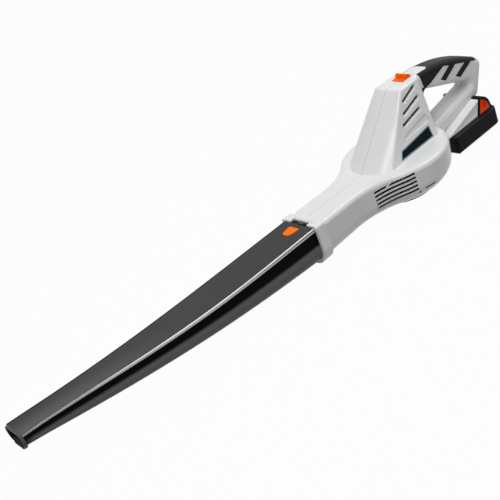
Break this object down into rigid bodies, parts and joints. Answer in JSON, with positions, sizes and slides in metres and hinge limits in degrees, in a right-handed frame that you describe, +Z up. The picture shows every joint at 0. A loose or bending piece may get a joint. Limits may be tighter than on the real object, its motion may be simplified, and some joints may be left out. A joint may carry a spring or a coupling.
{
  "type": "leaf blower",
  "caption": "Cordless hand-held leaf blower with a round fan pan, leaning motor tower, loop handle, slide-in battery and a long flat-tipped nozzle tube",
  "frame": {"origin": "on the fan's axis, on the flat face of the intake grille that the blower rests on", "axes": "X along the tool with the nozzle tip at -X and the battery at +X, Z up, Y to the left"},
  "size_m": [0.8768, 0.1624, 0.1574],
  "materials": {
    "shell_white": "fine satin off-white moulding",
    "nozzle_black": "semi-gloss black moulding",
    "grip_rubber": "soft black overmould",
    "orange_plastic": "orange moulding",
    "red_plastic": "red-orange moulding",
    "battery_black": "textured black moulding",
    "label_black": "glossy black plate with a thin pale border",
    "inner_black": "dark moulding",
    "steel": "bright zinc-plated steel",
    "can_steel": "plated motor can",
    "magnet": "sintered ferrite",
    "copper_steel": "laminated steel and copper winding",
    "board_green": "circuit board",
    "cell_wrap": "cell sleeve",
    "contact": "plated contact",
    "catch": "springy tongue"
  },
  "bodies": {
    "housing": {"housing_left": "shell_white", "housing_right": "shell_white", "housing_screws": "steel", "grip_left": "grip_rubber", "grip_right": "grip_rubber", "label_plate": "label_black", "outlet_collar": "shell_white", "intake_grille": "inner_black", "motor_plate": "inner_black", "motor_can": "can_steel", "motor_end_bell": "inner_black", "motor_magnets": "magnet", "motor_screws": "steel", "front_bearing": "steel", "rear_bearing": "steel", "control_board": "board_green", "switch_module": "inner_black", "terminal_block": "contact"},
    "rotor": {"motor_shaft": "steel", "motor_armature": "copper_steel", "impeller": "inner_black", "impeller_nut": "steel"},
    "switch": {"switch_slider": "orange_plastic"},
    "nozzle": {"nozzle_tube": "nozzle_black", "nozzle_catch": "catch"},
    "nozzle_button": {"nozzle_release_button": "orange_plastic"},
    "battery": {"battery_tray": "battery_black", "battery_cover": "battery_black", "battery_cells": "cell_wrap", "cell_cradle": "inner_black", "protection_board": "board_green", "battery_catch_left": "catch", "battery_catch_right": "catch"},
    "battery_button_l": {"battery_button_left": "red_plastic"},
    "battery_button_r": {"battery_button_right": "red_plastic"}
  },
  "joints": [
    {"name": "impeller_spin", "type": "hinge", "parent": "housing", "child": "rotor", "pos_m": [0, 0, 0.04], "axis": [0, 0, 1], "continuous": true},
    {"name": "switch_slide", "type": "slide", "parent": "housing", "child": "switch", "axis": [1, 0, 0], "range_m": [0, 0.006]},
    {"name": "nozzle_slide", "type": "slide", "parent": "housing", "child": "nozzle", "axis": [-1, 0, 0], "range_m": [0, 0.04], "deforming": ["nozzle_catch"]},
    {"name": "nozzle_button_press", "type": "slide", "parent": "nozzle", "child": "nozzle_button", "axis": [0, 0, -1], "range_m": [0, 0.0025], "stiffness_N_per_m": 600, "deforming": ["nozzle_catch"]},
    {"name": "battery_slide", "type": "slide", "parent": "housing", "child": "battery", "axis": [1, 0, 0], "range_m": [0, 0.09], "deforming": ["battery_catch_left", "battery_catch_right"]},
    {"name": "battery_button_left_press", "type": "slide", "parent": "battery", "child": "battery_button_l", "axis": [0, -1, 0], "range_m": [0, 0.003], "stiffness_N_per_m": 600, "deforming": ["battery_catch_left"]},
    {"name": "battery_button_right_press", "type": "slide", "parent": "battery", "child": "battery_button_r", "axis": [0, 1, 0], "range_m": [0, 0.003], "stiffness_N_per_m": 600, "deforming": ["battery_catch_right"]}
  ]
}
